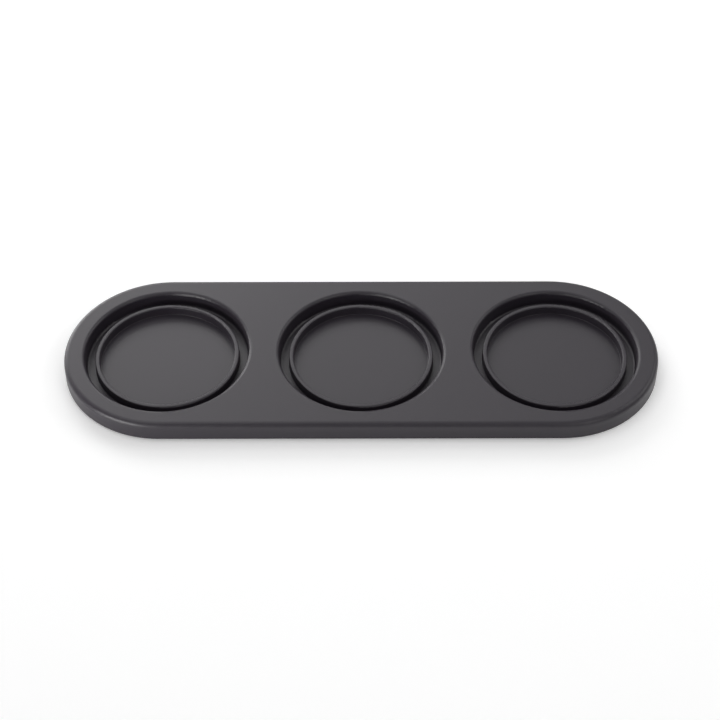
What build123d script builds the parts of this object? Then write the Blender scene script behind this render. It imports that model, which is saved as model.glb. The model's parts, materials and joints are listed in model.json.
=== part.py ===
"""Three-well tray: a long, round-ended moulded tray on push-in rubber feet.

The tray is one thin-walled moulding. Its deck carries three round wells in a
row. In each well a thin ring stands up from the floor and leaves a moat
between itself and the well's wall, so that a vessel's foot drops over the ring
or stands inside it. Underneath, the moulding is open, stiffened by ribs, and
has bosses that take the stems of the rubber feet.

Frame: +X along the tray, +Y to its back, +Z up. The origin is the centre of
the footprint, on the surface that the feet stand on. Millimetres and degrees.
"""

import os
from math import cos, radians, sin, tan

from build123d import *

os.makedirs("parts", exist_ok=True)

# Outline of the moulding
tray_length = 400.0
tray_width = 137.7
body_height = 13.2  # from the skirt's lower edge to the deck
foot_stand = 0.7  # how far the feet hold the skirt off the table
skirt_draft = 1.0  # so that the moulding leaves its tool
deck_edge_radius = 3.6  # the rounding from the deck into the skirt
skirt_foot_radius = 0.6
wall = 2.4

# Wells, and the ring in each
well_count = 3
well_pitch = 130.7
well_radius = 55.2
well_depth = 11.1
well_draft = 1.5
well_mouth_radius = 2.3
well_foot_radius = 1.5
ring_radius = 48.5  # outside, at the lip
ring_width = 3.0  # at the lip
ring_drop = 4.6  # from the deck down to the lip
ring_draft = 1.0
ring_lip_radius = 0.9
ring_root_radius = 0.3

# Underside
rib_width = 1.6
rib_set_back = 1.5  # the ribs stop this far short of the skirt's lower edge
spoke_count = 12  # ribs that run out from each well
spoke_length = 20.0
boss_radius = 5.5
relief_radius = 42.0
relief_depth = 0.3
gate_radius = 4.0
gate_depth = 0.3
gate_nub_radius = 1.0

# Feet
foot_offset_y = 50.0  # of the feet between the wells
foot_end_angle = 45.0  # round the ends, from the tray's long axis
pad_radius = 4.5
pad_clearance = 0.2
pad_recess_depth = 1.2
pad_edge_radius = 0.5
stem_radius = 1.8
stem_length = 5.4
stem_tip_chamfer = 0.9
stem_hole_radius = 2.05
stem_hole_depth = 6.5
barb_radius = 2.0
barb_height = 0.75
barb_pitch = 1.5
barb_count = 3

# Worked out from the above
end_radius = tray_width / 2
end_centre_x = tray_length / 2 - end_radius
deck_top = foot_stand + body_height
deck_underside = deck_top - wall
inside_deck = deck_top - wall / 2
well_floor = deck_top - well_depth
ring_lip = deck_top - ring_drop
cup_radius = well_radius + wall
pad_top = foot_stand + pad_recess_depth
stem_tip = pad_top + stem_length


def lean(rise, draft):
    """How far a wall leans over a rise at a draft angle."""
    return rise * tan(radians(draft))


def foot_places():
    """Where each foot stands, by name, as x and y."""
    channel_x = well_pitch + (cup_radius + wall) * cos(radians(foot_end_angle))
    channel_y = (cup_radius + wall) * sin(radians(foot_end_angle))
    places = {}
    for side, along in (("left", -1), ("right", 1)):
        for row, across in (("front", -1), ("back", 1)):
            places[f"foot_end_{row}_{side}"] = (along * channel_x, across * channel_y)
            places[f"foot_mid_{row}_{side}"] = (along * well_pitch / 2, across * foot_offset_y)
    return places


feet_at = foot_places()


# The hollow under the deck: the outline, one wall in, with a rounded roof.
with BuildPart() as underside_core:
    with BuildSketch(Plane.XY.offset(foot_stand)):
        SlotOverall(tray_length - 2 * wall, tray_width - 2 * wall)
    extrude(amount=body_height - wall, taper=skirt_draft)
    fillet(underside_core.faces().sort_by(Axis.Z)[-1].edges(), deck_edge_radius - wall)


# The space in one well: its moat, the gap over the ring, and the inner floor.
ring_lean = lean(ring_lip - well_floor, ring_draft)
with BuildPart() as well_space:
    with BuildSketch(Plane.XZ):
        with BuildLine():
            mouth = (well_radius, deck_top)
            FilletPolyline(
                (0, well_floor),
                (ring_radius - ring_width - ring_lean, well_floor),
                (ring_radius - ring_width, ring_lip),
                (ring_radius, ring_lip),
                (ring_radius + ring_lean, well_floor),
                (well_radius - lean(well_depth, well_draft), well_floor),
                mouth,
                radius=[
                    ring_root_radius,
                    ring_lip_radius,
                    ring_lip_radius,
                    ring_root_radius,
                    well_foot_radius,
                ],
            )
            Polyline(mouth, (0, deck_top), (0, well_floor))
        make_face()
    revolve(axis=Axis.Z)


with BuildPart() as tray_body:
    # The slab, with its rounded deck edge, emptied from below.
    with BuildSketch(Plane.XY.offset(foot_stand)):
        SlotOverall(tray_length, tray_width)
    extrude(amount=body_height, taper=skirt_draft)
    fillet(tray_body.faces().sort_by(Axis.Z)[-1].edges(), deck_edge_radius)
    fillet(tray_body.faces().sort_by(Axis.Z)[0].edges(), skirt_foot_radius)
    add(underside_core.part, mode=Mode.SUBTRACT)

    # Cups that will hold the wells, and bosses for the feet.
    with BuildSketch(Plane.XY.offset(foot_stand)):
        with GridLocations(well_pitch, 0, well_count, 1):
            Circle(cup_radius)
        with Locations(*feet_at.values()):
            Circle(boss_radius)
    extrude(amount=inside_deck - foot_stand)

    # Ribs: one along the tray, one across it between each two wells, and
    # spokes from each well out to the skirt, all ending inside the skirt's wall.
    with BuildSketch(Plane.XY.offset(foot_stand + rib_set_back)):
        Rectangle(tray_length, rib_width)
        with GridLocations(well_pitch, 0, well_count - 1, 1):
            Rectangle(rib_width, tray_width)
        with GridLocations(well_pitch, 0, well_count, 1):
            with PolarLocations(cup_radius + spoke_length / 2 - wall, spoke_count):
                Rectangle(spoke_length, rib_width)
        SlotOverall(tray_length - wall, tray_width - wall, mode=Mode.INTERSECT)
    extrude(amount=inside_deck - foot_stand - rib_set_back)

    # The wells, with a rounded mouth.
    with GridLocations(well_pitch, 0, well_count, 1):
        add(well_space.part, mode=Mode.SUBTRACT)
    deck_circles = tray_body.edges().filter_by(GeomType.CIRCLE).group_by(Axis.Z)[-1]
    mouths = deck_circles.filter_by(lambda edge: abs(edge.radius - well_radius) < wall / 2)
    fillet(mouths, well_mouth_radius)

    # A shallow relief under each floor, and the gate's mark under the middle one.
    with BuildSketch(Plane.XY.offset(foot_stand)):
        with GridLocations(well_pitch, 0, well_count, 1):
            Circle(relief_radius)
    extrude(amount=relief_depth, mode=Mode.SUBTRACT)
    with BuildSketch(Plane.XY.offset(foot_stand + relief_depth)):
        Circle(gate_radius)
        Circle(gate_nub_radius, mode=Mode.SUBTRACT)
    extrude(amount=gate_depth, mode=Mode.SUBTRACT)

    # Seats for the feet, cut from below: a recess for the pad, a hole for the stem.
    with Locations(*[Location((x, y, foot_stand), (180, 0, 0)) for x, y in feet_at.values()]):
        CounterBoreHole(
            radius=stem_hole_radius,
            counter_bore_radius=pad_radius + pad_clearance,
            counter_bore_depth=pad_recess_depth,
            depth=pad_recess_depth + stem_hole_depth,
        )

tray_body.part.label = "tray_body"
export_step(tray_body.part, "parts/tray_body.step")


def push_in_foot(name, x, y):
    """One rubber foot: a pad in its recess and a barbed stem up its hole."""
    section = Plane(origin=(x, y, 0), x_dir=(1, 0, 0), z_dir=(0, -1, 0))
    with BuildPart() as foot:
        with BuildSketch(section):
            with BuildLine():
                FilletPolyline(
                    (0, 0),
                    (pad_radius, 0),
                    (pad_radius, pad_top),
                    (stem_radius, pad_top),
                    radius=[pad_edge_radius, pad_edge_radius / 2],
                )
                Polyline(
                    (stem_radius, pad_top),
                    (stem_radius, stem_tip - stem_tip_chamfer),
                    (stem_radius - stem_tip_chamfer, stem_tip),
                    (0, stem_tip),
                    (0, 0),
                )
            make_face()
            # Barbs: short cones up the stem, each widest at its lower edge.
            for number in range(1, barb_count + 1):
                barb_foot = stem_tip - stem_tip_chamfer - number * barb_pitch
                barb_head = barb_foot + barb_height
                with BuildLine():
                    Polyline(
                        (0, barb_foot),
                        (barb_radius, barb_foot),
                        (stem_radius, barb_head),
                        (0, barb_head),
                        close=True,
                    )
                make_face()
        revolve(axis=Axis((x, y, 0), (0, 0, 1)))
    foot.part.label = name
    export_step(foot.part, f"parts/{name}.step")


for foot_name, (foot_x, foot_y) in feet_at.items():
    push_in_foot(foot_name, foot_x, foot_y)
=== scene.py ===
# %% [markdown]
# # A three-well tray in satin charcoal plastic
# The real object is one long moulding with round ends. Its deck has three round
# wells in a row, a thin ring stands in each well, and rubber feet are pushed in
# underneath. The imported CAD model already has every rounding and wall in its
# true place, so no shape has to be made again here. What is left is what makes
# a dark, plain thing look real: its finish, the light that it mirrors, and the
# lens that it is seen through.

# %% Load the frame
import json
import math

import bpy
from mathutils import Matrix, Vector

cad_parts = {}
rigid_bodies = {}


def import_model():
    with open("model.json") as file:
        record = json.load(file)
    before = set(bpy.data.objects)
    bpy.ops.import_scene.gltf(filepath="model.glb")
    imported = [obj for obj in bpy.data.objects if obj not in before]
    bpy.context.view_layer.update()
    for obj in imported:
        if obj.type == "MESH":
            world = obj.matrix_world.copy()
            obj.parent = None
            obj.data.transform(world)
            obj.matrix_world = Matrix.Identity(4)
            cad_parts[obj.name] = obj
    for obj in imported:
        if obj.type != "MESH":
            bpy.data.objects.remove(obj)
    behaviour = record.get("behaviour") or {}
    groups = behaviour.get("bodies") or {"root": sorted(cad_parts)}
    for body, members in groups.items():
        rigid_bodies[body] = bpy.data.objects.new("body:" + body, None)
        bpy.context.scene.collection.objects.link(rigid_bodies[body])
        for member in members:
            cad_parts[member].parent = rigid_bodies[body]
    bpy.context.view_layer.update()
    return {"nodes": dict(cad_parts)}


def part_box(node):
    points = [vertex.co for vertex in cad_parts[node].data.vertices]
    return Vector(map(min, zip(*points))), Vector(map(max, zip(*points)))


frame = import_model()
NODES = frame["nodes"]
MM = 0.001
print(len(NODES), "pieces:", ", ".join(sorted(NODES)))

# %% [markdown]
# ## Where things are
# Every height that the finish or the camera needs is read from the frame. The
# tray's box gives the deck and the skirt's lower edge. The feet reach down to
# the table, at zero.

# %% Read the heights
SKIRT_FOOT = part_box("tray_body")[0].z
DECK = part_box("tray_body")[1].z
FEET = sorted(name for name in NODES if name.startswith("foot_"))
print("deck", round(DECK / MM, 2), "mm, skirt", round(SKIRT_FOOT / MM, 2), "mm above the table")

# %% [markdown]
# ## A small kit for shader nodes
# A material is a graph of nodes. Written out call by call, it is long and hard
# to read, so three helpers carry the routine: one adds a node and sets what is
# fixed on it, one joins two sockets, and one opens a node group with named
# inputs and outputs. A group is built once and then placed in each material
# that needs it, with its own values.


# %% Node helpers
def add_node(tree, kind, settings=None, values=None):
    """Add a node; settings are its properties and values its unlinked inputs."""
    node = tree.nodes.new(kind)
    for key, value in (settings or {}).items():
        setattr(node, key, value)
    for key, value in (values or {}).items():
        node.inputs[key].default_value = value
    return node


def join(tree, source, target):
    """Link an output socket to an input socket."""
    tree.links.new(source, target)


def open_group(name, inputs, outputs):
    """A new node group; inputs and outputs are lists of (name, socket type, default)."""
    group = bpy.data.node_groups.new(name, "ShaderNodeTree")
    for in_out, sockets in (("INPUT", inputs), ("OUTPUT", outputs)):
        for label, kind, default in sockets:
            socket = group.interface.new_socket(name=label, in_out=in_out, socket_type=kind)
            if default is not None:
                socket.default_value = default
    return group, group.nodes.new("NodeGroupInput"), group.nodes.new("NodeGroupOutput")


def place_group(tree, group, values):
    """Place a group in a tree, with its inputs set to values."""
    node = tree.nodes.new("ShaderNodeGroup")
    node.node_tree = group
    for key, value in values.items():
        node.inputs[key].default_value = value
    return node


FLOAT = "NodeSocketFloat"
print("node helpers ready")

# %% [markdown]
# ## Grain
# A satin moulding is dull because its tool was spark-eroded: the steel is
# covered in tiny craters, and the plastic copies them as soft bumps about a
# quarter of a millimetre apart. Rounded cells (a Voronoi texture) make the
# bumps, and noise breaks their regularity. Rubber has the same kind of skin,
# only finer and deeper, so the grain is a group with a scale.


# %% Group: grain
def make_grain():
    group, entry, leave = open_group(
        "grain",
        [("Bumps per metre", FLOAT, 4000.0), ("Unevenness", FLOAT, 0.5)],
        [("Height", FLOAT, None)],
    )
    place = add_node(group, "ShaderNodeTexCoord")
    cells = add_node(group, "ShaderNodeTexVoronoi", {"feature": "SMOOTH_F1"}, {"Smoothness": 0.6})
    noise = add_node(group, "ShaderNodeTexNoise", values={"Detail": 3.0, "Roughness": 0.6})
    mixed = add_node(group, "ShaderNodeMix")
    for texture in (cells, noise):
        join(group, place.outputs["Object"], texture.inputs["Vector"])
        join(group, entry.outputs["Bumps per metre"], texture.inputs["Scale"])
    join(group, entry.outputs["Unevenness"], mixed.inputs["Factor"])
    join(group, cells.outputs["Distance"], mixed.inputs["A"])
    join(group, noise.outputs["Fac"], mixed.inputs["B"])
    join(group, mixed.outputs["Result"], leave.inputs["Height"])
    return group


GRAIN = make_grain()
print("group:", GRAIN.name)

# %% [markdown]
# ## Drift
# No moulding is one even colour. Pigment and cooling leave broad, faint clouds
# some centimetres wide, and inside them a fine mottle. Two noises of very
# different size, added, give one mask around a half. The same mask can darken
# the colour a little and change the gloss a little, which is what the eye
# reads as a real surface instead of a filled shape.


# %% Group: drift
def make_drift():
    group, entry, leave = open_group(
        "drift",
        [
            ("Clouds per metre", FLOAT, 18.0),
            ("Mottle per metre", FLOAT, 900.0),
            ("Mottle share", FLOAT, 0.35),
        ],
        [("Mask", FLOAT, None)],
    )
    place = add_node(group, "ShaderNodeTexCoord")
    clouds = add_node(group, "ShaderNodeTexNoise", values={"Detail": 2.0, "Distortion": 0.4})
    mottle = add_node(group, "ShaderNodeTexNoise", values={"Detail": 2.0})
    mixed = add_node(group, "ShaderNodeMix")
    for texture, rate in ((clouds, "Clouds per metre"), (mottle, "Mottle per metre")):
        join(group, place.outputs["Object"], texture.inputs["Vector"])
        join(group, entry.outputs[rate], texture.inputs["Scale"])
    join(group, entry.outputs["Mottle share"], mixed.inputs["Factor"])
    join(group, clouds.outputs["Fac"], mixed.inputs["A"])
    join(group, mottle.outputs["Fac"], mixed.inputs["B"])
    join(group, mixed.outputs["Result"], leave.inputs["Mask"])
    return group


DRIFT = make_drift()
print("group:", DRIFT.name)

# %% [markdown]
# ## Rubbed roundings, with a painted highlight
# Hands and jars polish the roundings first, because that is where things touch.
# Where the mask lightens the colour, it is a painted highlight along each
# rounding as well as wear. To find them without painting a map, look at how far
# the surface leans: a flat has its normal's height at one, a wall has it at
# nearly nought, and only a rounding lies between. Four times the height times
# one minus the height is a mask that is one in the middle of each rounding.
# Noise then makes the rub patchy, as it is in life.


# %% Group: rubbed roundings, with a painted highlight
def make_rub_and_highlight():
    group, entry, leave = open_group(
        "rubbed_and_highlit_roundings",
        [("Patches per metre", FLOAT, 120.0), ("Least rub", FLOAT, 0.3)],
        [("Mask", FLOAT, None)],
    )
    place = add_node(group, "ShaderNodeTexCoord")
    surface = add_node(group, "ShaderNodeNewGeometry")
    split = add_node(group, "ShaderNodeSeparateXYZ")
    height = add_node(group, "ShaderNodeMath", {"operation": "ABSOLUTE"})
    rest = add_node(group, "ShaderNodeMath", {"operation": "SUBTRACT"}, {0: 1.0})
    product = add_node(group, "ShaderNodeMath", {"operation": "MULTIPLY"})
    bend = add_node(group, "ShaderNodeMath", {"operation": "MULTIPLY", "use_clamp": True}, {1: 4.0})
    patches = add_node(group, "ShaderNodeTexNoise", values={"Detail": 4.0, "Roughness": 0.6})
    spread = add_node(group, "ShaderNodeMapRange", values={"From Min": 0.35, "From Max": 0.65})
    rub_and_highlight = add_node(group, "ShaderNodeMath", {"operation": "MULTIPLY"})
    join(group, surface.outputs["True Normal"], split.inputs["Vector"])
    join(group, split.outputs["Z"], height.inputs[0])
    join(group, height.outputs[0], rest.inputs[1])
    join(group, height.outputs[0], product.inputs[0])
    join(group, rest.outputs[0], product.inputs[1])
    join(group, product.outputs[0], bend.inputs[0])
    join(group, place.outputs["Object"], patches.inputs["Vector"])
    join(group, entry.outputs["Patches per metre"], patches.inputs["Scale"])
    join(group, patches.outputs["Fac"], spread.inputs["Value"])
    join(group, entry.outputs["Least rub"], spread.inputs["To Min"])
    join(group, bend.outputs[0], rub_and_highlight.inputs[0])
    join(group, spread.outputs["Result"], rub_and_highlight.inputs[1])
    join(group, rub_and_highlight.outputs[0], leave.inputs["Mask"])
    return group


RUB_AND_HIGHLIGHT = make_rub_and_highlight()
print("group:", RUB_AND_HIGHLIGHT.name)

# %% [markdown]
# ## From masks to a finish
# The groups give masks between nought and one. Four more helpers turn them into
# a finish: a material with its shader, a colour between two colours, a value
# between two values, and a bump. The Principled shader itself always stays in
# the material, so that each finish can be read, and exported, by itself.


# %% Finish helpers
def finish_shader(name):
    """A new material and its tree and Principled shader."""
    material = bpy.data.materials.new(name)
    material.use_nodes = True
    return material, material.node_tree, material.node_tree.nodes["Principled BSDF"]


def colour_between(tree, mask, first, second):
    """A colour that goes from first to second as the mask goes from 0 to 1."""
    blend = add_node(tree, "ShaderNodeMix", {"data_type": "RGBA"}, {"A": first, "B": second})
    join(tree, mask, blend.inputs["Factor"])
    return blend.outputs["Result"]


def value_between(tree, mask, first, second):
    """A value that goes from first to second as the mask goes from 0 to 1."""
    spread = add_node(tree, "ShaderNodeMapRange", values={"To Min": first, "To Max": second})
    join(tree, mask, spread.inputs["Value"])
    return spread.outputs["Result"]


def bump_from(tree, height, depth, shader):
    """Raise the surface by height times depth, in metres, for shading only."""
    bump = add_node(tree, "ShaderNodeBump", values={"Strength": 1.0, "Distance": depth})
    join(tree, height, bump.inputs["Height"])
    join(tree, bump.outputs["Normal"], shader.inputs["Normal"])


print("finish helpers ready")

# %% [markdown]
# ## Charcoal plastic
# The tray is dyed nearly black, and yet it looks mid-grey: most of what reaches
# the eye is light mirrored off the satin skin, not light out of the pigment. So
# the base colour stays very dark, and the roughness decides the look. It is low
# enough that the floors mirror the ring's wall as a soft dark band, and high
# enough that no lamp shows its outline.

# %% Charcoal plastic
DEEP_CHARCOAL = (0.0190, 0.0155, 0.0215, 1.0)
PALE_CHARCOAL = (0.0270, 0.0220, 0.0300, 1.0)
# The rubbed colour is a lighter charcoal on every rounding: wear, and a painted highlight.
RUBBED_AND_HIGHLIGHT_CHARCOAL = (0.045, 0.041, 0.046, 1.0)
RUB_AND_HIGHLIGHT_SHARE = 0.35  # of the rubbed colour where the rub is strongest
SATIN_LOW, SATIN_HIGH = 0.38, 0.46  # roughness
RUB_POLISH = 0.05  # taken off the roughness where the rub is strongest
SATIN_GRAIN_DEPTH = 0.008 * MM


def make_charcoal_plastic():
    material, tree, shader = finish_shader("charcoal_plastic")
    drift = place_group(tree, DRIFT, {"Clouds per metre": 18.0, "Mottle per metre": 1100.0})
    rub_and_highlight = place_group(tree, RUB_AND_HIGHLIGHT, {"Patches per metre": 140.0, "Least rub": 0.3})
    grain = place_group(tree, GRAIN, {"Bumps per metre": 4200.0, "Unevenness": 0.45})

    pigment = colour_between(tree, drift.outputs["Mask"], DEEP_CHARCOAL, PALE_CHARCOAL)
    # Lighter colour on the roundings: wear, and a painted highlight.
    colour = add_node(tree, "ShaderNodeMix", {"data_type": "RGBA"}, {"B": RUBBED_AND_HIGHLIGHT_CHARCOAL})
    rub_and_highlight_amount = value_between(tree, rub_and_highlight.outputs["Mask"], 0.0, RUB_AND_HIGHLIGHT_SHARE)
    join(tree, rub_and_highlight_amount, colour.inputs["Factor"])
    join(tree, pigment, colour.inputs["A"])
    join(tree, colour.outputs["Result"], shader.inputs["Base Color"])

    dullness = value_between(tree, drift.outputs["Mask"], SATIN_LOW, SATIN_HIGH)
    polish = value_between(tree, rub_and_highlight.outputs["Mask"], 0.0, RUB_POLISH)
    roughness = add_node(tree, "ShaderNodeMath", {"operation": "SUBTRACT"})
    join(tree, dullness, roughness.inputs[0])
    join(tree, polish, roughness.inputs[1])
    join(tree, roughness.outputs[0], shader.inputs["Roughness"])

    bump_from(tree, grain.outputs["Height"], SATIN_GRAIN_DEPTH, shader)
    return material


CHARCOAL = make_charcoal_plastic()
NODES["tray_body"].material_slots[0].material = CHARCOAL
print("finish on tray_body:", CHARCOAL.name)

# %% [markdown]
# ## Foot rubber
# The feet are soft black rubber. Rubber scatters more than the plastic, so its
# roughness is high, and its moulded skin is finer and deeper. The face that
# stands on the table picks up a grey bloom of dust. The bloom needs no map
# either: it fades out between the table and the skirt's lower edge.

# %% Foot rubber
RUBBER_BLACK = (0.010, 0.010, 0.0105, 1.0)
# Lighter rubber for every rounding: wear, and a painted highlight.
RUBBER_WORN_AND_HIGHLIGHT = (0.030, 0.029, 0.029, 1.0)
RUBBER_DUST = (0.110, 0.104, 0.098, 1.0)
DUST_SHARE = 0.5  # at the table
RUBBER_LOW, RUBBER_HIGH = 0.62, 0.82  # roughness
RUBBER_GRAIN_DEPTH = 0.015 * MM


def make_foot_rubber():
    material, tree, shader = finish_shader("foot_rubber")
    drift = place_group(tree, DRIFT, {"Clouds per metre": 300.0, "Mottle per metre": 2600.0})
    rub_and_highlight = place_group(tree, RUB_AND_HIGHLIGHT, {"Patches per metre": 500.0, "Least rub": 0.4})
    grain = place_group(tree, GRAIN, {"Bumps per metre": 6500.0, "Unevenness": 0.7})

    # Lighter on the roundings: wear, and a painted highlight.
    skin = colour_between(tree, rub_and_highlight.outputs["Mask"], RUBBER_BLACK, RUBBER_WORN_AND_HIGHLIGHT)
    surface = add_node(tree, "ShaderNodeNewGeometry")
    split = add_node(tree, "ShaderNodeSeparateXYZ")
    join(tree, surface.outputs["Position"], split.inputs["Vector"])
    near_table = add_node(
        tree, "ShaderNodeMapRange",
        values={"From Min": 0.0, "From Max": SKIRT_FOOT, "To Min": DUST_SHARE, "To Max": 0.0},
    )
    join(tree, split.outputs["Z"], near_table.inputs["Value"])
    bloom = add_node(tree, "ShaderNodeMath", {"operation": "MULTIPLY"})
    join(tree, near_table.outputs["Result"], bloom.inputs[0])
    join(tree, drift.outputs["Mask"], bloom.inputs[1])
    colour = add_node(tree, "ShaderNodeMix", {"data_type": "RGBA"}, {"B": RUBBER_DUST})
    join(tree, bloom.outputs[0], colour.inputs["Factor"])
    join(tree, skin, colour.inputs["A"])
    join(tree, colour.outputs["Result"], shader.inputs["Base Color"])

    dullness = value_between(tree, drift.outputs["Mask"], RUBBER_LOW, RUBBER_HIGH)
    join(tree, dullness, shader.inputs["Roughness"])
    bump_from(tree, grain.outputs["Height"], RUBBER_GRAIN_DEPTH, shader)
    return material


RUBBER = make_foot_rubber()
for name in FEET:
    NODES[name].material_slots[0].material = RUBBER
print("finish on", len(FEET), "feet:", RUBBER.name)

# %% [markdown]
# ## Floor
# The tray stands on a plain white table. It is a single face, far larger than
# the view, and it is not part of the object. A light table glows a little from
# below, which keeps the shadow under the skirt soft and pale, so the floor has a
# weak emission of its own besides its white. Its back is made clear, so that a
# camera under the table still sees the feet and the ribs: the Backfacing output
# is one behind the face, and it picks the clear shader there.

# %% Floor material
PAPER_WHITE = (0.95, 0.95, 0.95, 1.0)
WHITE = (1.0, 1.0, 1.0, 1.0)
TABLE_GLOW = 0.21


def make_floor_material():
    material, tree, shader = finish_shader("studio_floor")
    shader.inputs["Base Color"].default_value = PAPER_WHITE
    shader.inputs["Roughness"].default_value = 0.9
    shader.inputs["Specular IOR Level"].default_value = 0.0
    shader.inputs["Emission Color"].default_value = WHITE
    shader.inputs["Emission Strength"].default_value = TABLE_GLOW

    clear = add_node(tree, "ShaderNodeBsdfTransparent")
    surface = add_node(tree, "ShaderNodeNewGeometry")
    one_sided = add_node(tree, "ShaderNodeMixShader")
    join(tree, surface.outputs["Backfacing"], one_sided.inputs["Fac"])
    join(tree, shader.outputs["BSDF"], one_sided.inputs[1])
    join(tree, clear.outputs["BSDF"], one_sided.inputs[2])
    join(tree, one_sided.outputs["Shader"], tree.nodes["Material Output"].inputs["Surface"])
    return material


FLOOR_FINISH = make_floor_material()
print("material:", FLOOR_FINISH.name)

# %% [markdown]
# ## The floor's plane
# Blender's plane primitive has its face at height nought, which is where the
# feet end, so it needs no moving.

# %% Floor
FLOOR_SPAN = 12.0
bpy.ops.mesh.primitive_plane_add(size=FLOOR_SPAN)
FLOOR = bpy.context.object
FLOOR.name = "studio_floor"
FLOOR.data.materials.append(FLOOR_FINISH)
print("floor", FLOOR_SPAN, "m across")

# %% [markdown]
# ## Light
# A dark satin thing is lit by what it mirrors. Softboxes stand all round it,
# as in a product studio: strong ones behind, whose light slides off the deck
# towards the lens, more from the left than from the right, and low ones in
# front that put a tone on the skirt. Two small strips stand close on the left,
# near table height: they draw the thin bright line along every rounding that
# faces left, and it fades towards the far end of the tray, as light from a near
# lamp does.
#
# Each lamp is placed by its bearing and height and given a brightness, and its
# watts follow from its area. The camera doesn't see the lamps themselves, only
# their light, so that none of them stands in the picture from a low angle.

# %% Light helpers
scene = bpy.context.scene
scene.view_settings.view_transform = "Standard"


def direction(bearing, height):
    """A unit vector; bearing 0 is behind the tray and 90 to its right, in degrees."""
    turn, rise = math.radians(bearing), math.radians(height)
    return Vector((
        math.sin(turn) * math.cos(rise),
        math.cos(turn) * math.cos(rise),
        math.sin(rise),
    ))


def softbox(name, bearing, height, distance, size, brightness):
    """A rectangular lamp that faces the tray; brightness 1 looks like white paper."""
    lamp = bpy.data.lights.new(name, "AREA")
    lamp.shape = "RECTANGLE"
    lamp.size, lamp.size_y = size
    lamp.energy = brightness * math.pi * size[0] * size[1]
    holder = bpy.data.objects.new(name, lamp)
    scene.collection.objects.link(holder)
    toward = direction(bearing, height)
    holder.location = toward * distance
    holder.rotation_euler = toward.to_track_quat("Z", "Y").to_euler()
    holder.visible_camera = False
    return holder


print("view transform:", scene.view_settings.view_transform)

# %% [markdown]
# ## The set of lamps
# The table below is the whole set. The long distances are those of a small
# studio, and a box half a metre wide and more at 1.6 m gives soft edges.
#
# A studio hand holds a card under a low lamp to keep it off the table, so that
# the shadow there stays. Blender's light linking does the same: a collection
# that lists the floor as excluded is given to the two near strips.

# %% Softboxes
SOFTBOXES = {
    # name: (bearing, height, distance, size, brightness)
    "back_left": (-26.0, 28.0, 1.6, (0.8, 0.6), 4.8),
    "back_middle": (0.0, 32.0, 1.6, (0.6, 0.6), 2.2),
    "back_right": (26.0, 28.0, 1.6, (0.8, 0.6), 0.9),
    "back_high": (0.0, 54.0, 1.6, (1.2, 0.5), 1.3),
    "left": (-70.0, 34.0, 1.6, (1.0, 0.7), 0.6),
    "right": (70.0, 34.0, 1.6, (1.0, 0.7), 2.1),
    "top_left": (-70.0, 72.0, 1.6, (0.7, 0.9), 2.2),
    "top_right": (70.0, 72.0, 1.6, (0.7, 0.9), 0.7),
    "front_high": (180.0, 66.0, 1.6, (1.0, 0.5), 0.3),
    "front_left": (-140.0, 38.0, 1.6, (0.7, 0.7), 0.9),
    "front_right": (140.0, 38.0, 1.6, (0.7, 0.7), 2.1),
    "low_front_left": (-150.0, 13.0, 1.6, (0.9, 0.5), 1.6),
    "low_front_right": (150.0, 13.0, 1.6, (0.9, 0.5), 0.1),
    "low_back_left": (-45.0, 10.0, 1.6, (1.2, 0.4), 2.0),
    "near_back_left": (-50.0, 8.0, 0.6, (0.24, 0.12), 5.0),
    "near_front_left": (-128.0, 9.0, 0.50, (0.24, 0.13), 9.0),
}
kept_dark = bpy.data.collections.new("kept_dark_by_card")
kept_dark.objects.link(FLOOR)
kept_dark.collection_objects[0].light_linking.link_state = "EXCLUDE"
for name, placing in SOFTBOXES.items():
    lamp = softbox(name, *placing)
    if name.startswith("near"):
        lamp.light_linking.receiver_collection = kept_dark
print(len(SOFTBOXES), "softboxes")

# %% [markdown]
# ## The room
# Walls and ceiling send some light back from everywhere. A weak, even, white
# world stands in for them and keeps the deepest moats from going black.

# %% Room
ROOM_BRIGHTNESS = 0.14
room = bpy.data.worlds.new("studio_room")
room.use_nodes = True
room.node_tree.nodes["Background"].inputs["Color"].default_value = WHITE
room.node_tree.nodes["Background"].inputs["Strength"].default_value = ROOM_BRIGHTNESS
scene.world = room
print("room:", room.name, "at", ROOM_BRIGHTNESS)

# %% [markdown]
# ## Camera
# Product shots use a long lens from a little over a metre, which keeps the far
# edge nearly as long as the near one. The camera looks down by about half a
# right angle, at a point on the deck just in front of the middle. Its axes are
# built from the direction that it looks in, and then it is rolled by a third of
# a degree, as a tripod that isn't quite level would leave it.

# %% Camera
LENS = 83.95  # millimetres, on a sensor 36 mm wide
DISTANCE = 1.1230
HEIGHT_ANGLE = 45.79
BEARING = 179.64
ROLL = math.radians(-0.375)
AIM = Vector((-0.62 * MM, -10.05 * MM, DECK))


def make_camera():
    """A camera that stands DISTANCE from AIM, at BEARING and HEIGHT_ANGLE, and faces it."""
    glass = bpy.data.cameras.new("studio_camera")
    glass.lens = LENS
    holder = bpy.data.objects.new("studio_camera", glass)
    scene.collection.objects.link(holder)
    back = direction(BEARING, HEIGHT_ANGLE)
    right = Vector((0.0, 0.0, 1.0)).cross(back).normalized()
    upright = Matrix((right, back.cross(right), back)).transposed()
    holder.matrix_world = (
        Matrix.Translation(AIM + DISTANCE * back)
        @ Matrix.Rotation(ROLL, 4, back)
        @ upright.to_4x4()
    )
    return holder


scene.camera = make_camera()
print("camera", round(DISTANCE, 3), "m away, lens", LENS, "mm")
